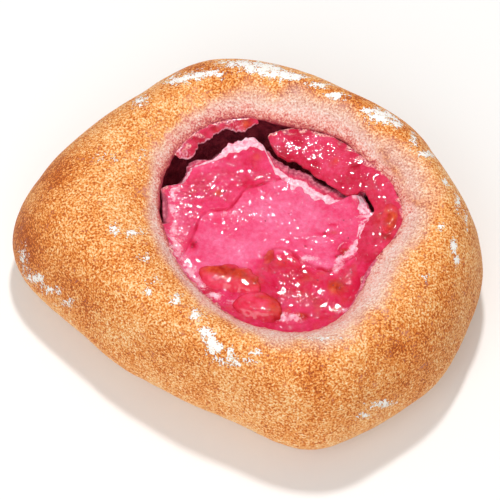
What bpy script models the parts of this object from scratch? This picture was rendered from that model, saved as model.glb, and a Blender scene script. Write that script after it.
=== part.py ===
"""A raspberry cream bun, 120 mm long: baked yeast dough with a well in its top, and a filling of raspberry
cream whose skin has torn. The cream stands away from the well's back wall. A flap of the torn skin still hangs
from the rim beside that gap, and a strip of it clings to the rim behind. Lumps of raspberry jam lie on top.

Lengths are in millimetres, and MM turns them into Blender's metres. +Z is up, +X is the bun's right and -Y its
front. The origin is the middle of the flat base. Angles run anticlockwise from +X, seen from above.
"""

import math

import bmesh
import bpy
import numpy as np

MM = 0.001

# The dough: its widest outline, as radii at even steps all round, and the heights of its main levels
OUTLINE_RADII = (59, 55, 53.5, 50.5, 51, 54, 55.5, 53, 55, 59, 60, 50.5, 45, 42.5, 43, 47.5, 55, 56, 58, 58.5)
WIDEST_HEIGHT = 13
CROWN_HEIGHTS = (36.5, 37.2, 37, 36.6, 37.4, 36.4, 37, 36.4)
BASE_INSET = 12

# The well: its rim, as radii at even steps about its own middle, the height of the rim, how far the wall runs
# back under the rim, and how far the dough rolls in just below it
WELL_MIDDLE = (7.9, 0.2)
RIM_RADII = (29.6, 29.5, 27.9, 28, 28.5, 32.4, 33.4, 32.3, 29.9, 28.4, 27.8, 29.4, 30.5, 30.5, 26.6, 25.6)
RIM_HEIGHTS = (31, 31.5, 32, 32, 31.5, 31.5, 31, 31, 31, 31, 30.5, 30.5, 30, 29.5, 29.5, 30)
UNDERCUTS = (1, 1, 1, 2, 4, 4.5, 4, 2.5, 1, 1, 1, 1, 1, 1, 1, 1)
RIM_ROLL = 0.35
WELL_FLOOR_HEIGHT = 11.5

# The cream: its level, the gap that pieces keep to each other, and the points of its torn edge at the back
CREAM_LEVEL = 28.6
GAP = 0.45
TORN_EDGE = (
    (30.2, 4.2), (28.2, 7.6), (25.5, 6.6), (21.5, 8), (16.6, 10.4), (13.2, 13.4), (9.4, 14.8), (6.8, 16.6),
    (5, 20.2), (3.2, 24.2), (1.2, 26), (-2.4, 25.6), (-6.2, 23.2), (-8.8, 19.8), (-13.6, 17.6), (-16.6, 13.6),
    (-19.6, 10.6), (-21, 7.6),
)
BEVEL = 1.5

# Folds in the cream's skin, each with its height: the skin on the left of the line stands above the rest
SKIN_FOLD = ((-19, -12), (-14.5, -4), (-12.8, 1.5), (-10.3, 4.3), (-5.5, 5), (-2.8, 8.4), (-0.8, 10.8), (7, 13.6))
SKIN_FOLD_HEIGHT = 1
PLATEAU_EDGE = ((24.5, -8), (21, -10.4), (16, -10.7), (12.4, -8.4), (8, -5), (4, -6), (0, -9), (-5, -10))
PLATEAU_EDGE_HEIGHT = 1.1
CREAM_ROLL = ((-8, 3), (-3, 1.4), (1, 1), (5, 3), (9, 4.2))
CREAM_ROLL_HEIGHT = 0.8

# The flap of torn skin: its edge along the rim, its free edge and then its seam with the cream below it
FLAP_OUTER_EDGE = (
    (4.6, 24.4), (8.4, 26.2), (14.4, 26.4), (20.2, 24.6), (25.6, 20.6), (30.6, 16), (34.2, 11.2), (36.2, 5.6),
    (36.9, 0), (34, -5.2), (30.8, -8.4), (28.9, -11.4),
)
FLAP_INNER_EDGE = (
    (5.2, 23.4), (7.6, 20), (11.6, 18.2), (16.4, 14.8), (21.4, 11), (25, 8.8), (29.2, 9.4), (31, 5.8),
    (30.6, 3.2), (27.6, -1.2), (26.6, -6), (26, -8.8), (27, -11.6),
)
FLAP_LEVEL = 29.9
FLAP_RISE = 1.6
FLAP_THICKNESS = 1.6
SEAT_UNDER_FLAP = 26.6

# The strip of skin left on the rim: its first and last angle in degrees, and how far it reaches over the gap
STRIP_ANGLES = (144, 101)
STRIP_WIDTHS = (0.9, 3.1, 2.9, 1.7, 2.2, 2, 1.3, 1.9, 2.7, 1, 0.7)
STRIP_LEVEL = 30.2
STRIP_RISE = 1.2
STRIP_THICKNESS = 1.1

# The jam lumps: middle, half length, half width, height, turn in degrees, and what each lies on
JAM_LUMPS = (
    ((-4.8, -14.9), 8.2, 4, 2.2, -12, "cream"),
    ((1.6, -22.6), 5.8, 3.3, 2.4, -10, "cream"),
    ((4.8, -8.6), 3.2, 2, 1.8, 80, "cream"),
    ((34.4, 0.8), 3.9, 1.9, 1.5, 78, "flap"),
)
SEAT_DEPTH = 0.9
LUMP_GAP = 0.75

CRUST_COLOUR = (0.72, 0.36, 0.11, 1)
CREAM_COLOUR = (0.83, 0.12, 0.21, 1)
JAM_COLOUR = (0.55, 0.04, 0.04, 1)


def clear_scene():
    for old in list(bpy.data.objects):
        bpy.data.objects.remove(old)


def all_round(stations, angle):
    """A smooth closed wave through values at even steps of angle: their Fourier series."""
    terms = np.fft.rfft(stations) / len(stations)
    order = np.arange(len(terms))
    share = np.where((order == 0) | (2 * order == len(stations)), 1, 2)
    return (share * terms * np.exp(1j * order * np.asarray(angle)[..., None])).real.sum(-1)


def through_rings(rings, place):
    """The Catmull-Rom curve through rings of points, each vertex at its own place, counted in rings."""
    last = len(rings) - 1
    before = np.clip(place.astype(int), 0, last - 1)
    f = place - before
    near = [rings[np.clip(before + step, 0, last), :, np.arange(len(place))] for step in (-1, 0, 1, 2)]
    weights = (
        (2 * f**2 - f - f**3) / 2,
        (2 - 5 * f**2 + 3 * f**3) / 2,
        (f + 4 * f**2 - 3 * f**3) / 2,
        (f**3 - f**2) / 2,
    )
    return sum(weight[:, None] * point for weight, point in zip(weights, near))


def smooth_path(points, share):
    """Points at shares 0 to 1 of the Catmull-Rom curve through a few named points."""
    rings = np.repeat(np.asarray(points, float)[:, :, None], len(share), axis=2)
    return through_rings(rings, share * (len(points) - 1))


def smooth_step(value):
    value = np.clip(value, 0, 1)
    return value * value * (3 - 2 * value)


def beside(x, y, points, runs_on=True):
    """How far each point lies from a path, positive on its left. The path's ends can run on straight."""
    path = smooth_path(points, np.linspace(0, 1, 40))
    start, run = path[:-1], np.diff(path, axis=0)
    off_x, off_y = x[:, None] - start[:, 0], y[:, None] - start[:, 1]
    first, last = np.zeros(len(run)), np.ones(len(run))
    if runs_on:
        first[0], last[-1] = -np.inf, np.inf
    share = np.clip((off_x * run[:, 0] + off_y * run[:, 1]) / (run**2).sum(1), first, last)
    gap = np.hypot(off_x - share * run[:, 0], off_y - share * run[:, 1])
    nearest = gap.argmin(1)
    each = np.arange(len(x))
    side = np.sign(run[nearest, 0] * off_y[each, nearest] - run[nearest, 1] * off_x[each, nearest])
    return side * gap[each, nearest]


def well_polar(x, y):
    """Angle about the well's middle, and the distance from it as a share of the rim's radius."""
    angle = np.arctan2(y - WELL_MIDDLE[1], x - WELL_MIDDLE[0])
    return angle, np.hypot(x - WELL_MIDDLE[0], y - WELL_MIDDLE[1]) / all_round(RIM_RADII, angle)


def ring_about(middle, radius, angle, height):
    return np.array([middle[0] + radius * np.cos(angle), middle[1] + radius * np.sin(angle), height + 0 * angle])


def dough_surface(angle, share):
    """From the middle of the base, out and round the side, over the crown, and down into the well."""
    outline = all_round(OUTLINE_RADII, angle)
    rim = all_round(RIM_RADII, angle)
    rim_height = all_round(RIM_HEIGHTS, angle)
    undercut = all_round(UNDERCUTS, angle)
    crown_height = all_round(CROWN_HEIGHTS, angle)
    side = ring_about((0, 0), outline, angle, 0)
    lip = ring_about(WELL_MIDDLE, rim, angle, 0)

    def over_top(towards_rim, height):
        ring = side + (lip - side) * towards_rim
        ring[2] = height
        return ring

    centre = (0, 0)
    rings = (
        ring_about(centre, 0, angle, 0),
        ring_about(centre, outline * 0.5, angle, 0),
        ring_about(centre, outline - BASE_INSET, angle, 0),
        ring_about(centre, outline - 3.5, angle, 4.5),
        ring_about(centre, outline, angle, WIDEST_HEIGHT),
        over_top(0.09, 24.5),
        over_top(0.27, crown_height - 4),
        over_top(0.52, crown_height),
        over_top(0.8, crown_height - 1.8),
        over_top(1, rim_height),
        ring_about(WELL_MIDDLE, rim + undercut * 0.6, angle, rim_height - 4),
        ring_about(WELL_MIDDLE, rim + undercut, angle, rim_height - 11),
        ring_about(WELL_MIDDLE, rim - 3, angle, WELL_FLOOR_HEIGHT + 1),
        ring_about(WELL_MIDDLE, rim * 0.5, angle, WELL_FLOOR_HEIGHT),
        ring_about(WELL_MIDDLE, 0, angle, WELL_FLOOR_HEIGHT),
    )
    points = through_rings(np.array(rings), share * (len(rings) - 1))
    points[:, 2] = np.maximum(points[:, 2], 0)
    return points


def torn_edge_radius(angle):
    """The cream's edge about the well's middle: its torn edge at the back, and the rim less a gap elsewhere."""
    points = np.array(TORN_EDGE) - WELL_MIDDLE
    path = smooth_path(points, np.linspace(0, 1, 200))
    along = np.unwrap(np.arctan2(path[:, 1], path[:, 0]))
    order = np.argsort(along)
    turned = np.mod(angle, 2 * math.pi)
    edge = np.interp(turned, along[order], np.hypot(path[order, 0], path[order, 1]))
    rim = all_round(RIM_RADII, angle) - RIM_ROLL - GAP
    torn = smooth_step((turned - along.min()) / 0.12) * smooth_step((along.max() - turned) / 0.2)
    return rim + (np.minimum(edge, rim) - rim) * torn


def cream_height(x, y):
    """The cream's top: nearly level, with folds of its skin, hollows under the lumps and a seat for the flap."""
    angle, share = well_polar(x, y)
    height = CREAM_LEVEL + 0.25 * np.sin(x / 6) * np.cos(y / 7) + 0 * share
    height += SKIN_FOLD_HEIGHT * smooth_step(0.5 + beside(x, y, SKIN_FOLD) / 1.6)
    height += PLATEAU_EDGE_HEIGHT * (smooth_step(0.5 - beside(x, y, PLATEAU_EDGE) / 2) - 1)
    roll = beside(x, y, CREAM_ROLL, runs_on=False)
    height += CREAM_ROLL_HEIGHT * np.exp(-((roll / 1.8) ** 2))
    for middle, half_length, half_width, _, turn, carrier in JAM_LUMPS:
        if carrier == "cream":
            from_middle = lump_share(x, y, middle, half_length, half_width, turn)
            height -= SEAT_DEPTH * smooth_step(1.5 - from_middle)
    under_flap = smooth_step(0.5 + beside(x, y, FLAP_INNER_EDGE) / 1.2) * smooth_step((share - 0.5) / 0.1)
    return height + (np.minimum(height, SEAT_UNDER_FLAP) - height) * under_flap


def flap_height(x, y):
    """The flap's top: lowest at its free edge, and rising towards the rim."""
    _, share = well_polar(x, y)
    return FLAP_LEVEL + FLAP_RISE * smooth_step((share - 0.55) / 0.45) - smooth_step((4 - y) / 12)


def strip_height(x, y):
    """The top of the strip on the rim: it droops from the rim to its free edge."""
    _, share = well_polar(x, y)
    return STRIP_LEVEL + STRIP_RISE * smooth_step((share - 0.88) / 0.12)


def lump_share(x, y, middle, half_length, half_width, turn):
    """Distance from a lump's middle, as a share of its outline."""
    cos, sin = math.cos(math.radians(turn)), math.sin(math.radians(turn))
    off_x, off_y = x - middle[0], y - middle[1]
    return np.hypot((off_x * cos + off_y * sin) / half_length, (off_y * cos - off_x * sin) / half_width)


def cream_surface(angle, share):
    """From the middle of the well's floor, out and up its wall, over the torn edge, and in across the top."""
    rim = all_round(RIM_RADII, angle)
    undercut = all_round(UNDERCUTS, angle)
    edge = torn_edge_radius(angle)
    wall = rim + undercut * 0.6 - 2 * GAP
    edge_ring = ring_about(WELL_MIDDLE, edge, angle, 0)
    edge_ring[2] = cream_height(edge_ring[0], edge_ring[1])
    bevel = np.minimum(BEVEL, (wall - edge) * 0.5)
    side_rings = (
        ring_about(WELL_MIDDLE, 0, angle, WELL_FLOOR_HEIGHT + GAP),
        ring_about(WELL_MIDDLE, rim * 0.5, angle, WELL_FLOOR_HEIGHT + GAP),
        ring_about(WELL_MIDDLE, rim - 3 - 3 * GAP, angle, WELL_FLOOR_HEIGHT + 1 + 3 * GAP),
        ring_about(WELL_MIDDLE, edge + (wall - edge) * 0.7, angle, 18.5),
        ring_about(WELL_MIDDLE, edge + (wall - edge) * 0.3, angle, 23.5),
        ring_about(WELL_MIDDLE, edge + bevel, angle, edge_ring[2] - BEVEL),
        edge_ring,
    )
    top_start = 0.4
    side = through_rings(np.array(side_rings), np.clip(share / top_start, 0, 1) * (len(side_rings) - 1))
    inwards = np.clip((share - top_start) / (1 - top_start), 0, 1)
    top = ring_about(WELL_MIDDLE, edge * (1 - inwards), angle, 0).T
    top[:, 2] = cream_height(top[:, 0], top[:, 1])
    return np.where((share > top_start)[:, None], top, side)


def lump_surface(middle, half_length, half_width, height, turn, carrier):
    """A lump as a low dome, a little lobed, that lies on the cream or on the flap."""

    def surface(angle, share):
        lobes = 1 + 0.06 * np.sin(3 * angle + middle[0]) + 0.04 * np.sin(5 * angle + middle[1])
        out = np.sin(math.pi * share) * lobes
        up = np.maximum(-np.cos(math.pi * share), 0) ** 0.7
        cos, sin = math.cos(math.radians(turn)), math.sin(math.radians(turn))
        long, wide = half_length * out * np.cos(angle), half_width * out * np.sin(angle)
        x = middle[0] + long * cos - wide * sin
        y = middle[1] + long * sin + wide * cos
        base = cream_height(x, y) if carrier == "cream" else flap_height(x, y)
        return np.stack([x, y, base + LUMP_GAP + height * up], axis=1)

    return surface


def material(name, colour, roughness):
    made = bpy.data.materials.new(name)
    made.use_nodes = True
    shader = made.node_tree.nodes["Principled BSDF"]
    shader.inputs["Base Color"].default_value = colour
    shader.inputs["Roughness"].default_value = roughness
    shader.inputs["Metallic"].default_value = 0
    return made


def node_object(name, mesh, finish, collection):
    made = bpy.data.objects.new(name, mesh)
    mesh.materials.append(finish)
    mesh.shade_smooth()
    collection.objects.link(made)
    return made


def read_points(mesh):
    points = np.empty(len(mesh.vertices) * 3, np.float32)
    mesh.vertices.foreach_get("co", points)
    return points.reshape(-1, 3).astype(float)


def write_points(mesh, points):
    mesh.vertices.foreach_set("co", points.astype(np.float32).ravel())
    mesh.update()


def reshaped_ball(name, surface, segments, rows, finish, collection, shift):
    """A UV sphere whose vertices move to surface(angle, share): share is 0 at its lower pole and 1 at its upper."""
    mesh = bpy.data.meshes.new(name)
    shape = bmesh.new()
    bmesh.ops.create_uvsphere(shape, u_segments=segments, v_segments=rows, radius=1)
    shape.to_mesh(mesh)
    shape.free()
    ball = read_points(mesh)
    angle = np.arctan2(ball[:, 1], ball[:, 0])
    share = np.arccos(np.clip(-ball[:, 2], -1, 1)) / math.pi
    write_points(mesh, (surface(angle, share) - shift) * MM)
    return node_object(name, mesh, finish, collection)


def strip_edge(widths, share):
    """Points of the strip's edge: inside the rim by a gap and by the strip's widths."""
    angle = np.radians(STRIP_ANGLES[0] + (STRIP_ANGLES[1] - STRIP_ANGLES[0]) * share)
    width = smooth_path(np.array(widths)[:, None], share)[:, 0]
    return ring_about(WELL_MIDDLE, all_round(RIM_RADII, angle) - RIM_ROLL - GAP - width, angle, 0)[:2].T


def skin_object(name, edges, height, thickness, columns, rows, finish, collection, shift):
    """A grid laid from a skin's edge along the rim to its free edge, with its thickness below it."""
    mesh = bpy.data.meshes.new(name)
    shape = bmesh.new()
    bmesh.ops.create_grid(shape, x_segments=columns, y_segments=rows, size=0.5)
    shape.to_mesh(mesh)
    shape.free()
    flat = read_points(mesh)
    outer, inner = (edge(flat[:, 0] + 0.5) for edge in edges)
    plan = inner + (outer - inner) * (flat[:, 1] + 0.5)[:, None]
    write_points(mesh, (np.column_stack([plan, height(plan[:, 0], plan[:, 1])]) - shift) * MM)
    skin = node_object(name, mesh, finish, collection)
    shell = skin.modifiers.new("skin thickness", "SOLIDIFY")
    shell.thickness = thickness * MM
    shell.offset = -1
    return skin


def outline_middle():
    """The middle of the outline's box, which the origin is moved to."""
    angle = np.linspace(0, 2 * math.pi, 20000)
    radius = all_round(OUTLINE_RADII, angle)
    x, y = radius * np.cos(angle), radius * np.sin(angle)
    return np.array([(x.max() + x.min()) / 2, (y.max() + y.min()) / 2, 0])


def main():
    clear_scene()
    collection = bpy.data.collections.new("raspberry_cream_bun")
    bpy.context.scene.collection.children.link(collection)
    crust = material("baked_crust", CRUST_COLOUR, 0.6)
    cream = material("raspberry_cream", CREAM_COLOUR, 0.3)
    jam = material("raspberry_jam", JAM_COLOUR, 0.15)
    shift = outline_middle()
    reshaped_ball("bun", dough_surface, 80, 43, crust, collection, shift)
    reshaped_ball("cream_filling", cream_surface, 80, 25, cream, collection, shift)
    flap_edges = (
        lambda share: smooth_path(FLAP_OUTER_EDGE, share),
        lambda share: smooth_path(FLAP_INNER_EDGE, share),
    )
    skin_object("cream_flap", flap_edges, flap_height, FLAP_THICKNESS, 44, 8, cream, collection, shift)
    strip_edges = (
        lambda share: strip_edge((0, 0), share),
        lambda share: strip_edge(STRIP_WIDTHS, share),
    )
    skin_object("rim_skin", strip_edges, strip_height, STRIP_THICKNESS, 30, 4, cream, collection, shift)
    for number, lump in enumerate(JAM_LUMPS, start=1):
        reshaped_ball(f"jam_lump_{number}", lump_surface(*lump), 16, 10, jam, collection, shift)


main()
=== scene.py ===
"""A raspberry cream bun as it comes from the baker: a golden crust dusted with flour, a well full of wet
raspberry cream whose skin has torn, and lumps of raspberry jam.

Lengths are in millimetres, and MM turns them into Blender's metres. +Z is up, +X is the bun's right and -Y
its front. Angles run anticlockwise from +X, seen from above.
"""

import math

import bpy
import numpy as np
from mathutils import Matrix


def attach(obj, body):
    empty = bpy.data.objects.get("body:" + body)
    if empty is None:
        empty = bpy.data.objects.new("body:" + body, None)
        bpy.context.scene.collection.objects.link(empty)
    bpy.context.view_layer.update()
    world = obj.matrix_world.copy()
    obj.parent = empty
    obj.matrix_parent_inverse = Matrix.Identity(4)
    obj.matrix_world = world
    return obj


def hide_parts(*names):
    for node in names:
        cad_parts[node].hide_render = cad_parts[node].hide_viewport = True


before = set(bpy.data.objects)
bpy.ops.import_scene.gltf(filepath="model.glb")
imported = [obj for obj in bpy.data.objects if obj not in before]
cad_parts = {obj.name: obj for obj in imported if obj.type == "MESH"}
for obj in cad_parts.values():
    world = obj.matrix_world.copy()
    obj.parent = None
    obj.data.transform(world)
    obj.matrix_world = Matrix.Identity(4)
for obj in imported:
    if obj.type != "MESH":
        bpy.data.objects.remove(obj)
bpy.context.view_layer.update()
MM = 0.001

# The bun is yeast dough, shaped by hand round a well and baked on a tray. Its crust is golden brown on the
# crown and paler low on the sides. The filling kept the rim moist, so that is pale, and pink at the very lip.
OUTLINE_RADII = (59, 55, 53.5, 50.5, 51, 54, 55.5, 53, 55, 59, 60, 50.5, 45, 42.5, 43, 47.5, 55, 56, 58, 58.5)
WIDEST_HEIGHT = 13
CROWN_HEIGHTS = (36.5, 37.2, 37, 36.6, 37.4, 36.4, 37, 36.4)
BASE_INSET = 12
WELL_MIDDLE = (7.9, 0.2)
RIM_RADII = (29.6, 29.5, 27.9, 28, 28.5, 32.4, 33.4, 32.3, 29.9, 28.4, 27.8, 29.4, 30.5, 30.5, 26.6, 25.6)
RIM_HEIGHTS = (31, 31.5, 32, 32, 31.5, 31.5, 31, 31, 31, 31, 30.5, 30.5, 30, 29.5, 29.5, 30)
UNDERCUTS = (1, 1, 1, 2, 4, 4.5, 4, 2.5, 1, 1, 1, 1, 1, 1, 1, 1)
WELL_FLOOR_HEIGHT = 11.5
MOIST_BAND = (8.5, 7, 6.5, 8, 9, 6.5, 4.5, 4, 3.5, 3.5, 4, 5.5, 8, 8.5, 10, 10)
STAIN_BAND = (2.2, 1.6, 1.8, 2.2, 3, 3.4, 3.2, 2.4, 1.6, 1.2, 2, 2.6, 3.4, 4.6, 5, 3.6)
# The lip's stain is deepened at the lower left, from about 200 to 270 degrees, as painted shade there.
STAIN_AND_LIP_SHADE_DEPTH = (0.7, 0.7, 0.65, 0.65, 0.85, 1.1, 1.2, 1.1, 1, 0.95, 0.9, 0.85, 0.85, 0.65, 0.5, 0.55)

# Where the crust is darkest and where flour stayed on it, seen from the front and above: x and y on the plane
# of the crown, half width, half depth and how much. FLOURED_BEHIND has the height in the place of y.
BROWNED = (
    (-49, 11, 5, 6, 0.5), (-56, -7, 6, 9, 0.6), (-47, -18, 8, 6, 0.25), (-40, -27, 8, 5, 0.2),
    (-14, 44, 5, 2, 0.5), (-8, 39, 7, 3, 0.15), (12, 38, 5, 2.5, 0.3), (26, 34, 6, 3, 0.3),
    (38, 23, 5, 4, 0.3), (41, -33, 4, 4, 0.35), (35, -37, 3, 2.5, 0.4), (40, -42, 8, 6, 0.2),
    (15, -44, 3.5, 5, 0.3), (28, -47, 12, 5, 0.1), (49, -24, 6, 9, 0.15), (-19, -38, 6, 3, 0.2),
)
SYRUP_STREAK = ((33, 18.5), (35.5, 14), (38, 9), (40, 4.5), (43.5, 3))
FLOURED = (
    (-12, 42, 5.5, 1.6, 0.8), (-18.5, 40, 3.5, 1.8, 0.7), (-28, 34, 2.6, 2.4, 0.6),
    (-2.5, 45.3, 6, 1.6, 0.8), (4, 43.4, 5, 2.2, 1), (10.5, 41.2, 4.5, 1.4, 0.9),
    (17.5, 38.6, 3.6, 1, 0.8), (21.6, 35.2, 3, 1.3, 0.9), (33.4, 28.9, 3.6, 2.4, 1),
    (29.6, 31, 2, 1, 0.6), (37, 26.5, 1.6, 1.6, 0.6), (41, 22.4, 1.2, 2.4, 0.7),
    (44.4, 18, 3.2, 1.3, 0.8), (48.6, 9.6, 1, 2, 0.6), (51.6, 4, 0.8, 3, 0.7), (53.4, -1, 0.8, 3, 0.6),
    (50, -8.6, 0.9, 2.4, 0.8), (50.6, -13, 0.9, 2, 0.7), (42.6, -17.3, 1.6, 1.3, 0.5),
    (46.6, -3.4, 1.4, 1.4, 0.4), (-33.4, -4, 1.4, 1.8, 0.7), (-28.6, -5, 2.6, 1.4, 0.6),
    (-25.4, -12, 2.4, 1.2, 0.5), (-24, -18, 3, 1.2, 0.5), (-24.4, -21.2, 1.6, 1.2, 0.7),
    (-17.8, -23.6, 1.4, 2, 0.8), (-13, -27.6, 2.2, 1.7, 0.8), (-10.4, -32.4, 2.2, 1.8, 0.9),
    (-8.4, -36.6, 1.9, 2.6, 1), (-4.5, -37.6, 1, 1.8, 0.8), (1.4, -37.6, 1.4, 1.2, 0.8),
    (-4, -40.6, 6, 1.3, 0.5), (-36, 17, 3.4, 1.6, 0.4), (-26.6, 17, 1.6, 3, 0.35),
    (-57, -12, 1.6, 4, 0.6), (-54, -18, 3.4, 2, 0.7), (-49.6, -21.4, 3.4, 1.6, 0.6),
    (-45.4, -25, 3, 1.6, 0.5), (32, -52.8, 3.2, 1.3, 0.8), (27.6, -56, 2.4, 1, 0.7),
    (16, -34, 5, 1, 0.5),
)
FLOURED_BEHIND = (
    (-33, 17, 3, 2.4, 0.8), (-27, 27, 4, 2, 0.6), (-9, 30, 6, 2.2, 0.8), (3, 21, 2.4, 3.4, 0.6),
    (26, 26, 5, 2.4, 0.9), (33, 15, 2, 1.6, 0.5), (41, 24, 2.4, 4, 0.5), (-46, 20, 2, 3, 0.6),
)
CROWN_PLANE = 34
LINE_OF_SIGHT = 1 / math.tan(math.radians(60))
TOWARDS_EYE = (0, -0.5, 0.866)


def all_round(stations, angle):
    """A smooth closed wave through values at even steps of angle: their Fourier series."""
    terms = np.fft.rfft(stations) / len(stations)
    order = np.arange(len(terms))
    share = np.where((order == 0) | (2 * order == len(stations)), 1, 2)
    return (share * terms * np.exp(1j * order * np.asarray(angle)[..., None])).real.sum(-1)


def through_rings(rings, place):
    """The Catmull-Rom curve through rings of points, each vertex at its own place, counted in rings."""
    last = len(rings) - 1
    before = np.clip(place.astype(int), 0, last - 1)
    f = place - before
    near = [rings[np.clip(before + step, 0, last), :, np.arange(len(place))] for step in (-1, 0, 1, 2)]
    weights = (
        (2 * f**2 - f - f**3) / 2,
        (2 - 5 * f**2 + 3 * f**3) / 2,
        (f + 4 * f**2 - 3 * f**3) / 2,
        (f**3 - f**2) / 2,
    )
    return sum(weight[:, None] * point for weight, point in zip(weights, near))


def smooth_path(points, share):
    """Points at shares 0 to 1 of the Catmull-Rom curve through a few named points."""
    rings = np.repeat(np.asarray(points, float)[:, :, None], len(share), axis=2)
    return through_rings(rings, share * (len(points) - 1))


def smooth_step(value):
    """0 below 0, 1 above 1, and 3v^2 - 2v^3 between."""
    value = np.clip(value, 0, 1)
    return value * value * (3 - 2 * value)


def beside(x, y, points, runs_on=True):
    """How far each point lies from a path, positive on its left. The path's ends can run on straight."""
    path = smooth_path(points, np.linspace(0, 1, 60))
    start, run = path[:-1], np.diff(path, axis=0)
    first, last = np.zeros(len(run)), np.ones(len(run))
    if runs_on:
        first[0], last[-1] = -np.inf, np.inf
    nearest, side = np.full(x.shape, np.inf), np.ones(x.shape)
    for (sx, sy), (rx, ry), low, high in zip(start, run, first, last):
        off_x, off_y = x - sx, y - sy
        share = np.clip((off_x * rx + off_y * ry) / (rx * rx + ry * ry), low, high)
        gap = np.hypot(off_x - share * rx, off_y - share * ry)
        closer = gap < nearest
        nearest = np.where(closer, gap, nearest)
        side = np.where(closer, np.sign(rx * off_y - ry * off_x), side)
    return side * nearest


def unevenness(points, size, seed):
    """Smooth values from -1 to 1: random numbers at the corners of cubes of that size, eased between."""
    place = points / size
    low = np.floor(place).astype(np.int64)
    part = smooth_step(place - low)
    total = 0
    for corner in np.ndindex(2, 2, 2):
        x, y, z = (low + corner).T
        mixed = (x * 73856093) ^ (y * 19349663) ^ (z * 83492791) ^ (seed * 265443576)
        mixed = ((mixed ^ (mixed >> 13)) * 1274126177) & 0x7FFFFFFF
        mixed = (mixed ^ (mixed >> 16)) & 0xFFFF
        total = total + np.where(corner, part, 1 - part).prod(1) * (mixed / 32767.5 - 1)
    return total


def layered(points, *layers):
    """A sum of unevenness, with each layer's amount, size and seed."""
    return sum(amount * unevenness(points, size, seed) for amount, size, seed in layers)


def bell(distance, width):
    """1 at no distance, and falling off as e to the power -(distance / width)^2."""
    return np.exp(-((distance / width) ** 2))


def patches(x, y, places):
    """How much of some patches reaches each point: a bell curve over a patch's half width and half depth."""
    total = 0
    for middle_x, middle_y, half_width, half_depth, amount in places:
        total = total + amount * bell(x - middle_x, half_width) * bell(y - middle_y, half_depth)
    return total


def ring_about(middle, radius, angle, height):
    """Points on a ring about an upright line through middle, with their x, y and z in three rows."""
    x, y = middle[0] + radius * np.cos(angle), middle[1] + radius * np.sin(angle)
    return np.array([x, y, height + 0 * angle])


def well_polar(x, y):
    """Angle about the well's middle, and how far outside its rim each point lies."""
    angle = np.arctan2(y - WELL_MIDDLE[1], x - WELL_MIDDLE[0])
    return angle, np.hypot(x - WELL_MIDDLE[0], y - WELL_MIDDLE[1]) - all_round(RIM_RADII, angle)


def dough_surface(angle, share):
    """From the middle of the base, out and round the side, over the crown, and down into the well."""
    outline = all_round(OUTLINE_RADII, angle)
    rim = all_round(RIM_RADII, angle)
    rim_height = all_round(RIM_HEIGHTS, angle)
    undercut = all_round(UNDERCUTS, angle)
    crown_height = all_round(CROWN_HEIGHTS, angle)
    side = ring_about((0, 0), outline, angle, 0)
    lip = ring_about(WELL_MIDDLE, rim, angle, 0)
    # Radius and height of each ring, but share of the way to the lip and height over the top
    below = (
        (0, 0),
        (outline * 0.5, 0),
        (outline - BASE_INSET, 0),
        (outline - 3.5, 4.5),
        (outline, WIDEST_HEIGHT),
    )
    over_top = (
        (0.09, 24.5),
        (0.27, crown_height - 4),
        (0.52, crown_height),
        (0.8, crown_height - 1.8),
        (1, rim_height),
    )
    in_well = (
        (rim + undercut * 0.6, rim_height - 4),
        (rim + undercut, rim_height - 11),
        (rim - 3, WELL_FLOOR_HEIGHT + 1),
        (rim * 0.5, WELL_FLOOR_HEIGHT),
        (0, WELL_FLOOR_HEIGHT),
    )
    rings = [ring_about((0, 0), radius, angle, height) for radius, height in below]
    for towards_rim, height in over_top:
        ring = side + (lip - side) * towards_rim
        ring[2] = height
        rings.append(ring)
    rings += [ring_about(WELL_MIDDLE, radius, angle, height) for radius, height in in_well]
    return through_rings(np.array(rings), share * (len(rings) - 1))


def outline_middle():
    """The middle of the outline's box, which the origin is moved to."""
    angle = np.linspace(0, 2 * math.pi, 20000)
    radius = all_round(OUTLINE_RADII, angle)
    x, y = radius * np.cos(angle), radius * np.sin(angle)
    return np.array([(x.max() + x.min()) / 2, (y.max() + y.min()) / 2, 0])


def round_grid(columns, shares):
    """Angles and shares of a grid of rings, row after row."""
    angle = np.linspace(-math.pi, math.pi, columns, endpoint=False)
    return np.tile(angle, len(shares)), np.repeat(shares, columns)


def grid_normals(points, columns):
    """Outward unit normals of a closed grid: the step round it crossed with the step up it."""
    grid = points.reshape(-1, columns, 3)
    round_step = np.roll(grid, -1, axis=1) - np.roll(grid, 1, axis=1)
    up_step = np.gradient(grid, axis=0)
    normal = np.cross(round_step, up_step)
    return (normal / np.maximum(np.linalg.norm(normal, axis=2, keepdims=True), 1e-9)).reshape(-1, 3)


def closed_skin(name, points, columns, fields, finish, node):
    """A mesh of rings of points, joined round and upwards, and closed by one point at each end."""
    rings = len(points) // columns
    poles = np.array([points[:columns].mean(0), points[-columns:].mean(0)])
    here = np.arange(rings * columns).reshape(rings, columns)
    beyond = np.roll(here, -1, axis=1)
    quads = np.stack([here[:-1], beyond[:-1], beyond[1:], here[1:]], axis=2).reshape(-1, 4)
    low_pole, high_pole = rings * columns, rings * columns + 1
    low_fan = np.stack([beyond[0], here[0], np.full(columns, low_pole)], axis=1)
    high_fan = np.stack([here[-1], beyond[-1], np.full(columns, high_pole)], axis=1)
    mesh = bpy.data.meshes.new(name)
    corners = (np.concatenate([points, poles]) - SHIFT) * MM
    mesh.from_pydata(corners.tolist(), [], quads.tolist() + low_fan.tolist() + high_fan.tolist())
    for field, values in fields.items():
        ends = [values[:columns].mean(), values[-columns:].mean()]
        made = mesh.attributes.new(field, "FLOAT", "POINT")
        made.data.foreach_set("value", np.concatenate([values, ends]).astype(np.float32))
    mesh.shade_smooth()
    return placed(name, mesh, finish, node)


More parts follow.
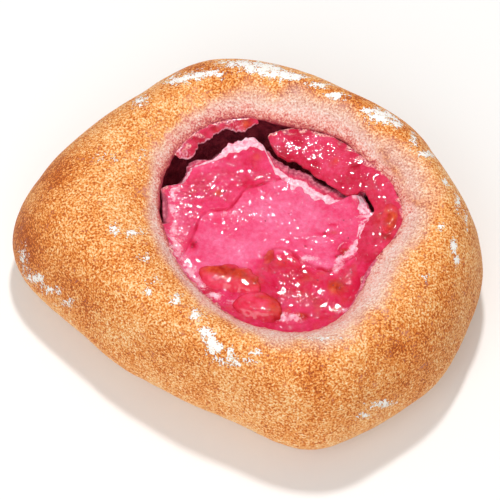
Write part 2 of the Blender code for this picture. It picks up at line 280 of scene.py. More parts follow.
def placed(name, mesh, finish, node):
    """Puts a mesh into the scene as a piece of the bun that stands for a node."""
    piece = bpy.data.objects.new(name, mesh)
    mesh.materials.append(finish)
    bpy.context.scene.collection.objects.link(piece)
    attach(piece, "root")
    if node:
        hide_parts(node)
    return piece


def linear(hex_colour):
    """An sRGB hex colour as linear red, green, blue and alpha."""
    parts = [int(hex_colour[i : i + 2], 16) / 255 for i in (1, 3, 5)]
    return [p / 12.92 if p <= 0.04045 else ((p + 0.055) / 1.055) ** 2.4 for p in parts] + [1]


def add(tree, kind, sockets=(), output=0, stops=(), **settings):
    """Adds a shader node and gives back one of its outputs.

    settings are the node's own options, sockets maps its inputs to values or to other nodes' outputs, and
    stops are a colour ramp's places and colours.
    """
    made = tree.nodes.new(kind)
    for name, value in settings.items():
        setattr(made, name, value)
    for name, value in dict(sockets).items():
        if isinstance(value, bpy.types.NodeSocket):
            tree.links.new(value, made.inputs[name])
        else:
            made.inputs[name].default_value = value
    for place, _ in stops[1:-1]:
        made.color_ramp.elements.new(place)
    for number, (place, colour) in enumerate(stops):
        stop = made.color_ramp.elements[number]
        stop.position = place
        stop.color = linear(colour)
    return made.outputs[output]


def new_material(name, sockets):
    """A material whose Principled shader has those values, with its tree and that shader."""
    made = bpy.data.materials.new(name)
    made.use_nodes = True
    shader = made.node_tree.nodes["Principled BSDF"]
    for socket, value in sockets.items():
        shader.inputs[socket].default_value = value
    return made, made.node_tree, shader


SHIFT = outline_middle()

# Baked wheat crust: a dry skin of browned starch and gluten with fine pores. It gives the eye a matt speckle
# of pale and dark grains under a millimetre across, over slow shifts from straw to chestnut. Where the cream
# wet it, it is moist and pale or stained pink, and flour lies on it as a white powder in clumps. In the well
# and on the lip over the gap it is dark wine red: the cream's stain, darkened as painted shade of the gap.
crust, tree, shader = new_material(
    "baked_wheat_crust",
    {
        "Roughness": 0.6,
        "Specular IOR Level": 0.15,
        "Subsurface Weight": 0.1,
        "Subsurface Radius": (1, 0.5, 0.25),
        "Subsurface Scale": 1 * MM,
    },
)
place = add(tree, "ShaderNodeTexCoord", output="Object")
browned, moist, stained, steep_and_lip_shade, soak_and_painted_shade, floured = (
    add(tree, "ShaderNodeAttribute", output="Fac", attribute_name=name)
    for name in ("browned", "moist", "stained", "steep_and_lip_shade", "soak_and_painted_shade", "floured")
)
# Each noise's size in millimetres, detail and roughness
noises = ((0.5, 2, 0.6), (2.2, 3, 0.6), (9, 3, 0.6), (0.45, 1, 0.6), (1.7, 3, 0.7))
grain, fleck, shift, dust, clump = (
    add(
        tree,
        "ShaderNodeTexNoise",
        {"Vector": place, "Scale": 1 / (size * MM), "Detail": detail, "Roughness": roughness},
    )
    for size, detail, roughness in noises
)
speckle = add(tree, "ShaderNodeMath", {0: fleck, 1: 0.6, 2: -1.55}, operation="MULTIPLY_ADD")
speckle = add(tree, "ShaderNodeMath", {0: grain, 1: 2.5, 2: speckle}, operation="MULTIPLY_ADD")
tone = add(tree, "ShaderNodeMath", {0: speckle, 1: browned}, operation="ADD")
tone = add(tree, "ShaderNodeMath", {0: shift, 1: 0.6, 2: tone}, operation="MULTIPLY_ADD")
tone = add(tree, "ShaderNodeMath", {0: tone, 1: 0.3}, operation="SUBTRACT")
crust_stops = ((0, "#FADCB0"), (0.25, "#F5C082"), (0.5, "#E89648"), (0.75, "#D06C26"), (1, "#A0481A"))
colour = add(tree, "ShaderNodeValToRGB", {0: tone}, stops=crust_stops)
mottling = add(tree, "ShaderNodeMath", {0: speckle, 1: 0.5}, operation="ADD")
# The stain's tone, deepened at the lower left of the lip as painted shade.
steep_and_lip_shade_tone = add(tree, "ShaderNodeMath", {0: mottling, 1: 0.7, 2: -0.35}, operation="MULTIPLY_ADD")
steep_and_lip_shade_tone = add(tree, "ShaderNodeMath", {0: steep_and_lip_shade, 1: 0.75, 2: steep_and_lip_shade_tone}, operation="MULTIPLY_ADD")
stain = add(tree, "ShaderNodeMath", {0: fleck, 1: 0.8, 2: stained}, operation="MULTIPLY_ADD")
stain = add(tree, "ShaderNodeMath", {0: speckle, 1: 0.3, 2: stain}, operation="MULTIPLY_ADD")
stain = add(tree, "ShaderNodeMapRange", {"Value": stain, "From Min": 0.6, "From Max": 1.1})
stain_stops = ((0, "#F6DED4"), (0.3, "#EEBCAE"), (0.55, "#DE8E80"), (0.8, "#C86260"), (1, "#A44050"))
covers = (
    (moist, mottling, ((0, "#ECE0DE"), (0.5, "#DFBAAE"), (1, "#BA7E76"))),
    (stain, steep_and_lip_shade_tone, stain_stops),
    # The cream's stain in the well, darkened to dark wine as painted shade of the gap.
    (soak_and_painted_shade, fleck, ((0.3, "#D04C60"), (0.5, "#A83048"), (0.7, "#741C30"))),
)
for cover, pattern, stops in covers:
    tint = add(tree, "ShaderNodeValToRGB", {0: pattern}, stops=stops)
    colour = add(tree, "ShaderNodeMix", {0: cover, 6: colour, 7: tint}, 2, data_type="RGBA")
powder = add(tree, "ShaderNodeMath", {0: clump, 1: floured}, operation="ADD")
powder = add(tree, "ShaderNodeMath", {0: dust, 1: 0.8, 2: powder}, operation="MULTIPLY_ADD")
powder = add(tree, "ShaderNodeMapRange", {"Value": powder, "From Min": 1.16, "From Max": 1.21})
flour = linear("#FBF6F0")
colour = add(tree, "ShaderNodeMix", {0: powder, 6: colour, 7: flour}, 2, data_type="RGBA")
tree.links.new(colour, shader.inputs["Base Color"])
relief = add(tree, "ShaderNodeMath", {0: fleck, 1: 0.5}, operation="MULTIPLY")
relief = add(tree, "ShaderNodeMath", {0: grain, 1: -1, 2: relief}, operation="MULTIPLY_ADD")
relief = add(tree, "ShaderNodeMath", {0: powder, 1: 0.6, 2: relief}, operation="MULTIPLY_ADD")
bumps = add(tree, "ShaderNodeBump", {"Strength": 1.0, "Distance": 0.3 * MM, "Height": relief})
tree.links.new(bumps, shader.inputs["Normal"])

BUN_COLUMNS = 480
RIM_SHARE = 9 / 14
bun_shares = np.concatenate(
    [np.linspace(0.02, 0.24, 14), np.linspace(0.25, 0.72, 165), np.linspace(0.725, 0.98, 20)]
)
angle, share = round_grid(BUN_COLUMNS, bun_shares)
dough = dough_surface(angle, share)
dough_normal = grid_normals(dough, BUN_COLUMNS)
above_base = smooth_step(dough[:, 2] / 4)
_, outside = well_polar(dough[:, 0], dough[:, 1])
swell = layered(dough, (0.3, 13, 1), (0.12, 5, 2), (0.05, 2, 3))
swell += bell(outside, 1.6) * layered(dough, (0.25, 3, 7), (0.15, 1.2, 8))
dough = dough + dough_normal * (swell * above_base)[:, None]
dough[:, 2] = np.maximum(dough[:, 2], 0)
seen_x, seen_y = dough[:, 0], dough[:, 1] - LINE_OF_SIGHT * (CROWN_PLANE - dough[:, 2])
rim_angle, outside = well_polar(dough[:, 0], dough[:, 1])
from_lip = np.maximum(outside, 0)
on_crust = share < 0.66
in_well = share > RIM_SHARE + 0.012
band = all_round(MOIST_BAND, rim_angle) * (1 + 0.3 * unevenness(dough, 6, 4))
moist_field = smooth_step(1.25 - outside / band) * 0.9
low_side = smooth_step((17 - dough[:, 2]) / 14) * (share < 0.5)
streak = beside(seen_x, seen_y, SYRUP_STREAK, runs_on=False)
streak = bell(streak, 1.4) * (0.8 + 0.4 * unevenness(dough, 1.5, 44))
moist_field *= 1 - 0.8 * streak
seen_side = smooth_step((dough_normal[:, 2] + 0.2) / 0.4)
brown_field = 0.48 + 0.7 * patches(seen_x, seen_y, BROWNED) * seen_side + 0.35 * streak - 0.18 * low_side
stain_width = all_round(STAIN_BAND, rim_angle) * (1 + 0.35 * unevenness(dough, 4, 5))
stain_field = np.exp(-from_lip / stain_width) * 0.95 + 0.12 * unevenness(dough, 1.4, 6)
facing = smooth_step((dough_normal @ TOWARDS_EYE + 0.05) / 0.3)
behind = patches(dough[:, 0], dough[:, 2], FLOURED_BEHIND) * (dough[:, 1] > 0) * (1 - facing)
flour_field = (patches(seen_x, seen_y, FLOURED) * facing + behind) * on_crust
# How deep the lip's stain is, deepened at the lower left as painted shade there.
steep_and_lip_shade_field = np.exp(-from_lip / stain_width) * all_round(STAIN_AND_LIP_SHADE_DEPTH, rim_angle)
beside_flap = np.exp(-from_lip / 3) * smooth_step((np.cos(rim_angle - math.radians(45)) - 0.6) / 0.3)
wrinkles = bell(layered(dough, (1, 2.6, 45), (0.4, 1, 46)), 0.16)
steep_and_lip_shade_field += 0.45 * beside_flap * wrinkles
at_front = smooth_step((np.cos(rim_angle + math.radians(60)) + 0.2) / 0.6)
specks = smooth_step((layered(dough, (1, 0.9, 47), (0.5, 3, 48)) - 0.2) / 0.3)
steep_and_lip_shade_field += 0.65 * at_front * specks * np.exp(-from_lip / 2.2)
# In the well, and on the lip over the gap at the back left, the stain is darkened as painted shade.
at_top = smooth_step((np.cos(rim_angle - math.radians(125)) - 0.2) / 0.5)
soak_and_shade_reach = share - RIM_SHARE + 0.016 * at_top * (1 + 0.7 * unevenness(dough, 1.6, 32))
fields = {
    "browned": brown_field,
    "moist": np.where(in_well, 0.9, moist_field),
    "stained": np.where(in_well, 0.9, stain_field),
    "steep_and_lip_shade": np.where(in_well, 1, steep_and_lip_shade_field),
    "soak_and_painted_shade": smooth_step(soak_and_shade_reach / 0.03) * 0.95,
    "floured": 0.42 * np.minimum(flour_field * 1.3, 1) - 0.2 * (flour_field < 0.05),
}
closed_skin("bun_crust", dough, BUN_COLUMNS, fields, crust, "bun")

# The raspberry cream is spooned into the well, and its surface has set to a thin wet skin. Where the skin
# tore, the cream sank away from the back wall, and the torn edge shows a paler, frothy inside.
CREAM_LEVEL = 28.6
PLATEAU_DROP = 0.9
GAP = 0.45
RIM_ROLL = 0.35
TORN_EDGE = (
    (30.5, 2.8), (29.9, 4.8), (29, 7.2), (27.8, 9.2), (26, 9.5), (24, 8.5), (21.5, 8), (16.6, 10.4),
    (13.2, 13.4), (9.4, 14.8), (6.8, 16.6), (5, 20.2), (3.2, 24.2), (1.2, 26), (-2.4, 25.6),
    (-6.2, 23.2), (-8.8, 19.8), (-13.6, 17.6), (-16.6, 13.6), (-19.6, 10.6), (-21, 7.6),
)
SKIN_FOLD = (
    (-19, -12), (-14.5, -4), (-12.8, 1.5), (-10.3, 4.3), (-5.5, 5), (-2.8, 8.4), (-0.8, 10.8),
    (7, 13.6),
)
PLATEAU_EDGE = (
    (24.6, -9.4), (20.2, -11.8), (17.3, -11.5), (13.6, -10.1), (11.4, -8), (9, -6.4), (5, -6.4),
    (0, -9),
)
FROTHY_TEAR = (
    (-17.2, 13), (-18.8, 10.8), (-19.4, 8), (-19.2, 4.4), (-18.8, 0.9), (-19.2, -2.5), (-19, -5),
    (-17.8, -8), (-16.4, -10.6), (-14.3, -13.8), (-11.8, -17),
)
SEAM = (
    (30.6, 3.2), (29.4, 2.2), (27.8, 1.2), (26.8, -2.4), (26.4, -4.6), (26, -6.7), (24, -8.6),
    (22.2, -10.2), (21, -12),
)
PIT = (23.6, -7)
BRIDGE = (26.4, 7.9)

# Places on the cream: x and y of the middle, half width, half depth and how much
SMOOTH = ((3, -1.5, 15, 7, 1), (12, 3, 9, 5, 0.8), (-6, -6, 8, 4, 0.6))
# The patches at (14.6, -9.2) and (17.6, -10.6) are a painted highlight on the plateau's rounded edge.
FROTH_AND_HIGHLIGHT_PATCHES = (
    (-18, -5.4, 1.8, 2.6, 0.8), (-16.2, -10, 1.4, 2, 0.6), (8.4, -24.8, 3, 1.2, 0.9),
    (-9, -19.8, 2.4, 1, 0.8), (14.6, -9.2, 2.6, 1, 0.75), (17.6, -10.6, 2, 0.7, 0.5),
    (27, 8, 1.6, 1.4, 1), (29, 3, 1.8, 0.8, 1), (-4, -21.4, 3, 0.9, 0.6), (-14.6, -12.4, 1.8, 1.6, 0.8),
    (2, -19.6, 2, 0.8, 0.5), (23, -23.6, 2, 1, 0.6), (-5, 3.8, 5, 1, 0.35), (10, -25.6, 3, 1, 0.6),
)
AMBER = (
    (21, -17.2, 2, 1.8, 0.9), (8.4, -10.4, 2, 1.6, 0.5), (18, -12.9, 1.6, 0.8, 0.6),
    (12, -24.8, 1.5, 0.9, 0.8), (-7.8, 9.2, 1.2, 1, 0.8), (1.4, 20.2, 1.8, 1.4, 0.6),
    (4.6, -19.6, 2, 1.2, 0.4), (23.8, -6.6, 1.2, 0.8, 0.6), (21, -1.6, 1.2, 0.6, 0.5),
    (14, -14.6, 3, 1.4, 0.35), (1.5, 17, 1, 2, 0.3),
)
# The patch at (23.8, -7) darkens the pit's hollow as painted shade; the others are deeper red spots.
DEEP = (
    (-14.1, -5.6, 0.9, 1.5, 0.6), (23.8, -7, 1.6, 1.1, 0.6), (21.7, -8.6, 0.7, 0.5, 0.7),
    (21.4, -16.4, 1.8, 1.2, 0.3), (18.5, -2.2, 1.6, 0.6, 0.35), (12.6, -24.6, 1.4, 0.7, 0.5),
    (20.6, 0.6, 1.2, 0.5, 0.3), (-1, 12, 3, 2, 0.1), (33, -4.4, 1.2, 1, 0.5),
)
RAISED = (
    (21, -17.4, 2, 2, 0.8), (-14, -6.5, 1.3, 1.5, 0.8), (12, -24.8, 1.5, 1, 0.6),
    (16, -15.4, 3, 2, 0.4),
)
GLINTING = (
    (-15.4, 8.9, 2.6, 2.2, 1), (-11.5, 11.7, 2.2, 2.2, 1), (-7.8, 15, 1.8, 2, 1),
    (-3.4, 19.6, 1.8, 2.6, 1), (2.8, 14.6, 3, 1.5, 0.9), (1.4, 3.6, 6, 1.6, 0.9), (-16, -2, 2, 3, 0.8),
    (8.8, -16.4, 2.6, 2.4, 1), (17.8, -20.4, 3, 2, 1), (21.7, -23, 2.6, 1.8, 1), (25, -11, 2.4, 3, 0.7),
    (11, 12, 3, 2, 0.6), (4, -12, 3, 2, 0.7), (-7, 9.8, 3, 1.4, 0.7), (-15, 4, 3, 3, 0.8),
    (15, 8, 5, 1.6, 0.5), (12, -20, 3, 3, 0.6), (18, -1, 8, 5, 0.35), (22, -14, 3, 2, 0.8),
    (-10, -17, 2, 2, 0.2), (-3, 14, 3, 2, 0.6), (27, 8, 2, 2, 1),
)


def torn_share(angle):
    """How much of the cream's edge is torn at each angle: 1 along the torn edge, 0 where it meets the rim."""
    ends = [np.arctan2(y - WELL_MIDDLE[1], x - WELL_MIDDLE[0]) for x, y in (TORN_EDGE[0], TORN_EDGE[-1])]
    turned = np.mod(angle, 2 * math.pi)
    return smooth_step((turned - ends[0]) / 0.07) * smooth_step((ends[1] - turned) / 0.2)


def torn_edge_radius(angle):
    """The cream's edge about the well's middle: torn at the back, and the rim less a gap elsewhere."""
    path = smooth_path(np.array(TORN_EDGE) - WELL_MIDDLE, np.linspace(0, 1, 200))
    along = np.unwrap(np.arctan2(path[:, 1], path[:, 0]))
    order = np.argsort(along)
    edge = np.interp(np.mod(angle, 2 * math.pi), along[order], np.hypot(path[order, 0], path[order, 1]))
    rim = all_round(RIM_RADII, angle) - RIM_ROLL - GAP
    return rim + (np.minimum(edge, rim) - rim) * torn_share(angle)


def cream_height(x, y):
    """The cream's top: nearly level, with a step up at its skin's fold and one down at the plateau's edge."""
    height = CREAM_LEVEL + 0.25 * np.sin(x / 6) * np.cos(y / 7)
    fold = beside(x, y, SKIN_FOLD)
    height += np.where(fold < 0, 0.5 * bell(fold, 4), 0.5) + 0.55 * smooth_step(0.5 + fold / 0.3)
    edge = beside(x, y, PLATEAU_EDGE)
    crisp = smooth_step((x - 2) / 5)
    step = crisp * smooth_step(0.5 + edge / 0.5)
    bulge = 0.4 * bell(edge + 1, 0.8) * bell(x - 15, 4)
    return height - PLATEAU_DROP * step + bulge


def wet_fruit(name, body, fruit, choppiness, sockets):
    """Raspberry under a clear wet film, as rippled as its choppiness says.

    The mesh says how deep its colour is, where fruit shows amber, where it is torn and frothy or carries
    a painted highlight in a frothy pink, smeared on the crust or in shade, and where drops stand and glint.
    """
    made, tree, shader = new_material(
        name,
        {
            "Specular IOR Level": 0.0,
            "Coat Roughness": 0.04,
            "Coat IOR": 1.6,
            "Subsurface Radius": (1, 0.3, 0.35),
            **sockets,
        },
    )
    place = add(tree, "ShaderNodeTexCoord", output="Object")
    deep, amber, torn, smeared, shaded, glinting = (
        add(tree, "ShaderNodeAttribute", output="Fac", attribute_name=name)
        for name in ("deep", "amber", "torn", "smeared", "shaded", "glinting")
    )
    # Each noise's size in millimetres, detail and roughness
    noises = ((0.5, 1, 0.5), (1, 3, 0.6), (3, 4, 0.6), (2.4, 2, 0.6), (1.1, 0.5, 0.5), (1.3, 2, 0.5))
    tiny, fine, broad, pulp, ripple, wetness = (
        add(
            tree,
            "ShaderNodeTexNoise",
            {"Vector": place, "Scale": 1 / (size * MM), "Detail": detail, "Roughness": roughness},
        )
        for size, detail, roughness in noises
    )
    depth = add(tree, "ShaderNodeMath", {0: broad, 1: 0.5, 2: -0.45}, operation="MULTIPLY_ADD")
    depth = add(tree, "ShaderNodeMath", {0: fine, 1: 0.4, 2: depth}, operation="MULTIPLY_ADD")
    depth = add(tree, "ShaderNodeMath", {0: depth, 1: deep}, operation="ADD")
    colour = add(tree, "ShaderNodeValToRGB", {0: depth}, stops=body)
    froth_and_highlights = add(tree, "ShaderNodeMath", {0: fine, 1: 0.8, 2: torn}, operation="MULTIPLY_ADD")
    froth_and_highlights = add(tree, "ShaderNodeMath", {0: tiny, 1: 0.8, 2: froth_and_highlights}, operation="MULTIPLY_ADD")
    froth_and_highlights = add(tree, "ShaderNodeMapRange", {"Value": froth_and_highlights, "From Min": 1.05, "From Max": 1.5})
    smear = add(tree, "ShaderNodeMath", {0: fine, 1: 0.9, 2: smeared}, operation="MULTIPLY_ADD")
    smear = add(tree, "ShaderNodeMapRange", {"Value": smear, "From Min": 0.75, "From Max": 1.1})
    covers = (
        (amber, pulp, fruit),
        (froth_and_highlights, fine, ((0.3, "#FFE4EA"), (0.5, "#F8BCCC"), (0.7, "#E27C98"))),
        (smear, tiny, ((0.35, "#F0BCB0"), (0.5, "#DC8084"), (0.65, "#A84460"))),
        (shaded, fine, ((0.3, "#EE9CA8"), (0.5, "#CA6078"), (0.7, "#983850"))),
    )
    for cover, pattern, stops in covers:
        tint = add(tree, "ShaderNodeValToRGB", {0: pattern}, stops=stops)
        colour = add(tree, "ShaderNodeMix", {0: cover, 6: colour, 7: tint}, 2, data_type="RGBA")
    tree.links.new(colour, shader.inputs["Base Color"])
    uneven = {"Vector": place, "Scale": 1 / (1.2 * MM), "Detail": 1}
    uneven = add(tree, "ShaderNodeTexNoise", uneven, output="Color")
    warp = (0.9 * MM,) * 3
    warped = add(tree, "ShaderNodeVectorMath", {0: uneven, 1: warp, 2: place}, operation="MULTIPLY_ADD")
    choppy = {0: glinting, 1: 2.0 * choppiness, 2: 2.2 * choppiness}
    rippled = add(tree, "ShaderNodeMath", choppy, operation="MULTIPLY_ADD")
    ripple = add(tree, "ShaderNodeMath", {0: ripple, 1: rippled}, operation="MULTIPLY")
    relief = add(tree, "ShaderNodeMath", {0: tiny, 1: 0.6, 2: ripple}, operation="MULTIPLY_ADD")
    # Small and large drops: spacing, height, and the share of places that have one, at most and at least
    for spacing, height, most, least in ((1.05, 0.85, 0.9, 0.1), (1.9, 1.4, 0.35, -0.02)):
        cells = {"Vector": warped, "Scale": 1 / (spacing * MM)}
        cells = add(tree, "ShaderNodeTexVoronoi", cells, output="Distance")
        drawn = add(tree, "ShaderNodeSeparateColor", {0: cells.node.outputs["Color"]})
        chance = add(tree, "ShaderNodeMath", {0: glinting, 1: most, 2: least}, operation="MULTIPLY_ADD")
        stands = add(tree, "ShaderNodeMath", {0: drawn, 1: chance}, operation="LESS_THAN")
        squared = add(tree, "ShaderNodeMath", {0: cells, 1: cells}, operation="MULTIPLY")
        round_drop = {"Value": squared, "From Min": 0.2, "From Max": 0.0, "To Max": stands}
        drop = add(tree, "ShaderNodeMapRange", round_drop)
        relief = add(tree, "ShaderNodeMath", {0: drop, 1: height, 2: relief}, operation="MULTIPLY_ADD")
    film = add(tree, "ShaderNodeBump", {"Strength": 1.0, "Distance": 0.065 * MM, "Height": relief})
    flesh = add(tree, "ShaderNodeBump", {"Strength": 1.0, "Distance": 0.04 * MM, "Height": relief})
    wetness = add(tree, "ShaderNodeMath", {0: glinting, 1: 0.22, 2: wetness}, operation="MULTIPLY_ADD")
    wet = {"Value": wetness, "From Min": 0.57, "From Max": 0.61, "To Min": 0.03, "To Max": 1.0}
    tree.links.new(add(tree, "ShaderNodeMapRange", wet), shader.inputs["Coat Weight"])
    tree.links.new(film, shader.inputs["Coat Normal"])
    tree.links.new(flesh, shader.inputs["Normal"])
    return made


# Raspberry cream: whipped cream and sieved raspberries. It gives the eye a saturated pink, frothy and pale
# where it tore, with a clear gloss that breaks into many small glints.
cream = wet_fruit(
    "wet_raspberry_cream",
    ((0, "#F0A2C0"), (0.25, "#E66A92"), (0.5, "#DE3E6A"), (0.75, "#CA1E42"), (1, "#A01430")),
    ((0.3, "#DC6440"), (0.5, "#C4442C"), (0.7, "#A02418")),
    1,
    {"Roughness": 0.5, "Subsurface Weight": 0.25, "Subsurface Scale": 1.2 * MM},
)

CREAM_COLUMNS = 560
TOP_ROWS = 146
angle, share = round_grid(CREAM_COLUMNS, np.linspace(1, 0, TOP_ROWS))
rim = all_round(RIM_RADII, angle)
rim_height = all_round(RIM_HEIGHTS, angle)
torn_here = torn_share(angle)
on_rim = ring_about(WELL_MIDDLE, rim, angle, 0).T
gap_at_left = smooth_step((on_rim[:, 1] + 1) / 2) * smooth_step((11 - on_rim[:, 1]) / 3) * (on_rim[:, 0] < 0)
laps_rim = (1 - torn_here) * (1 - gap_at_left)
edge = torn_edge_radius(angle) + laps_rim * (1.7 + layered(on_rim, (0.3, 3, 9), (0.3, 1, 10)))
along_edge = ring_about(WELL_MIDDLE, edge, angle, 0).T
edge = edge + torn_here * layered(along_edge, (0.4, 2.6, 11), (0.35, 1.1, 12), (0.2, 0.5, 13))
wall = rim + all_round(UNDERCUTS, angle) * 0.6 + 0.2
cream_top = ring_about(WELL_MIDDLE, edge * share, angle, 0).T
plan_x, plan_y = cream_top[:, 0], cream_top[:, 1]
cream_top[:, 2] = cream_height(plan_x, plan_y)
from_edge = edge * (1 - share)
# Froth shows in a band along the torn edge, along the tear and the seam, and in patches. A thin pale line on
# the pit's rim is a painted highlight in a frothy pink, and so are two patches on the plateau's rounded edge.
tip = smooth_step((plan_y - 18) / 4) * smooth_step((5 - plan_x) / 3)
under_flap = smooth_step((plan_x - 3) / 3)
band_width = torn_here * (0.7 + 1.5 * under_flap + 2.8 * tip) * (1 + 0.5 * unevenness(cream_top, 1.8, 14))
band_width = band_width + 0.001
torn_band = smooth_step((band_width - from_edge) / 0.3 + 0.5) * (torn_here > 0.05)
tear = np.abs(beside(plan_x, plan_y, FROTHY_TEAR, runs_on=False))
tear_froth = bell(tear, 1.4 + 0.7 * unevenness(cream_top, 2.2, 15))
tear_froth *= 0.55 + layered(cream_top, (0.4, 1.3, 30), (0.3, 0.7, 31))
ledge = gap_at_left * smooth_step((2 + 0.5 * unevenness(cream_top, 1.5, 37) - from_edge) / 1.8)
seam = np.abs(beside(plan_x, plan_y, SEAM, runs_on=False))
seam_width = 0.9 + 0.9 * unevenness(cream_top, 2.2, 16) + 0.8 * bell(plan_y + 6, 1.6)
seam_froth = bell(seam, np.maximum(seam_width, 0.2)) * (0.7 + 0.5 * unevenness(cream_top, 1.2, 28))
pit = np.hypot(plan_x - PIT[0], plan_y - PIT[1])
pit = pit * (1 + 0.16 * unevenness(cream_top, 2, 36))
above_pit = smooth_step((plan_y - PIT[1] + 0.8 * (PIT[0] - plan_x) - 0.6) / 1.6)
pit_rim_painted_glint = 0.8 * bell(pit - 2.1, 0.18) * above_pit * (0.6 + 0.8 * unevenness(cream_top, 1.4, 29))
frothy = patches(plan_x, plan_y, FROTH_AND_HIGHLIGHT_PATCHES) * (0.8 + 0.7 * unevenness(cream_top, 1.3, 17))
froth_and_highlights = np.maximum.reduce([torn_band, 0.9 * tear_froth, seam_froth, frothy, pit_rim_painted_glint, 0.45 * ledge])
froth_and_highlights = np.clip(froth_and_highlights, 0, 1)
amber = patches(plan_x, plan_y, AMBER) * (1 + 0.9 * unevenness(cream_top, 2, 19))
glinting = np.minimum(patches(plan_x, plan_y, GLINTING) + 0.7 * bell(tear, 2.2), 1)
# Low relief: creases at the fold and the plateau's edge, and waves that are lower on the smooth middle
smooth_zone = np.minimum(patches(plan_x, plan_y, SMOOTH), 1)
rough_zone = 1 - 0.75 * smooth_zone
fold_side = beside(plan_x, plan_y, SKIN_FOLD)
edge_side = beside(plan_x, plan_y, PLATEAU_EDGE) + 0.35 * unevenness(cream_top, 1.6, 34)
crease_depth = np.clip(0.75 + 0.7 * unevenness(cream_top, 2.6, 35), 0.1, 1.3)
lower = smooth_step(edge_side / 2)
amber = np.clip(amber + 0.4 * lower * np.maximum(unevenness(cream_top, 2.3, 43), 0), 0, 1)
fold_crease = bell(fold_side + 0.2, 0.2) * smooth_step((plan_y + 9) / 3) * crease_depth
edge_crease = bell(edge_side - 0.3, 0.24) * smooth_step((plan_x - 9) / 4) * smooth_step((23 - plan_x) / 2)
edge_crease *= crease_depth
hump_by_rim = bell(plan_x - 28, 3.4) * bell(plan_y + 12, 5)
climb = np.maximum(rim_height - cream_top[:, 2], 0) * smooth_step(1 - from_edge / 2.6) * laps_rim
cream_top[:, 2] += (
    climb
    - 0.25 * fold_crease
    - 0.35 * edge_crease
    + rough_zone * layered(cream_top, (0.16, 2.4, 20), (0.06, 1, 21))
    + smooth_step((edge_side - 1.5) / 3) * layered(cream_top, (0.2, 3.6, 22), (0.12, 1.7, 42))
    + 1.1 * patches(plan_x, plan_y, RAISED)
    + froth_and_highlights * layered(cream_top, (0.16, 0.9, 23), (0.1, 0.5, 24))
    + 0.7 * seam_froth
    + 1.6 * hump_by_rim
    + 2.1 * bell(plan_x - BRIDGE[0], 1.7) * bell(plan_y - BRIDGE[1], 1.5)
    + 0.7 * bell(pit - 2.2, 0.35) * above_pit
    - 1.1 * bell(pit, 1.5)
    - 0.3 * torn_band
    - 0.5 * np.clip(1 - from_edge / band_width, 0, 1) * torn_here
    - 1.4 * ledge**2
)
# The colour is deeper beyond the fold and below the plateau. It is darkened in the creases as painted shade,
# and paler on the plateau's rounded edge near x = 15 as a painted highlight.
tone_shade_and_highlight = 0.39 + 0.14 * smooth_step(0.5 + fold_side / 0.5) + 0.24 * lower - 0.06 * smooth_zone
tone_shade_and_highlight += 0.1 * smooth_step((plan_x - 16) / 8) + 0.12 * unevenness(cream_top, 6, 25)
tone_shade_and_highlight += 0.35 * fold_crease + 0.5 * edge_crease + patches(plan_x, plan_y, DEEP)
tone_shade_and_highlight -= 0.14 * bell(edge_side + 1.2, 0.9) * bell(plan_x - 15, 4)

SIDE_RINGS = 24
side_angle, side_place = round_grid(CREAM_COLUMNS, np.linspace(0.02, 1, SIDE_RINGS, endpoint=False))
column = np.tile(np.arange(CREAM_COLUMNS), SIDE_RINGS)
edge_r, wall_r, rim_r, edge_z = edge[column], wall[column], rim[column], cream_top[column, 2]
hang = np.maximum(wall_r - edge_r, 0) * torn_here[column]
# Under the torn edge a crumbly shelf stands out towards the well's wall
knob = 2.2 * bell(side_angle - 2.43, 0.09)
edge_x = cream_top[column, 0]
shelf = 0.5 + 3.2 * smooth_step((edge_x - 3) / 3) + 2.5 * smooth_step((edge_x - 17) / 4)
shelf = shelf * (0.1 + 0.9 * smooth_step((np.abs(side_angle - 0.28) - 0.15) / 0.04))
shelf = np.minimum(shelf + knob, hang * 0.8 + 0.3)
shelf_drop = 1.1 - 0.6 * smooth_step((edge_x - 20) / 3)
below_edge = np.minimum(edge_r, rim_r - 0.6)
# Radius and height of each ring, from the middle of the underside up to the edge
side_profile = (
    (0, WELL_FLOOR_HEIGHT + GAP),
    (rim_r * 0.5, WELL_FLOOR_HEIGHT + GAP),
    (rim_r - 3 - 3 * GAP, WELL_FLOOR_HEIGHT + 1 + 3 * GAP),
    (below_edge + hang * 0.5, 19.5),
    (below_edge + hang * 0.2, 24),
    (below_edge + shelf, edge_z - shelf_drop),
    (edge_r, edge_z),
)
side_rings = [ring_about(WELL_MIDDLE, radius, side_angle, height) for radius, height in side_profile]
cream_side = through_rings(np.array(side_rings), side_place * (len(side_rings) - 1))
crumbly = layered(cream_side, (0.4, 2, 26), (0.25, 0.9, 27))
cream_side[:, 2] += crumbly * smooth_step((side_place - 0.5) / 0.2) * torn_here[column]
cream_points = np.concatenate([cream_side, cream_top[:-CREAM_COLUMNS]])
on_side = {
    "deep": 0.6,
    "torn": smooth_step((side_place - 0.96) / 0.03),
    "shaded": smooth_step((0.97 - side_place) / 0.06),
}
on_top = {"deep": tone_shade_and_highlight, "torn": froth_and_highlights, "glinting": glinting - 0.1 * smooth_zone, "amber": amber}
on_top["smeared"] = smooth_step((1.8 + 0.9 * unevenness(cream_top, 1.3, 33) - from_edge) / 1.2) * laps_rim
on_top["shaded"] = 0.8 * ledge
fields = {
    field: np.concatenate(
        [
            np.broadcast_to(on_side.get(field, 0), side_place.shape),
            np.broadcast_to(on_top.get(field, 0), share.shape)[:-CREAM_COLUMNS],
        ]
    )
    for field in ("deep", "torn", "glinting", "amber", "shaded", "smeared")
}
closed_skin("cream_surface", cream_points, CREAM_COLUMNS, fields, cream, "cream_filling")

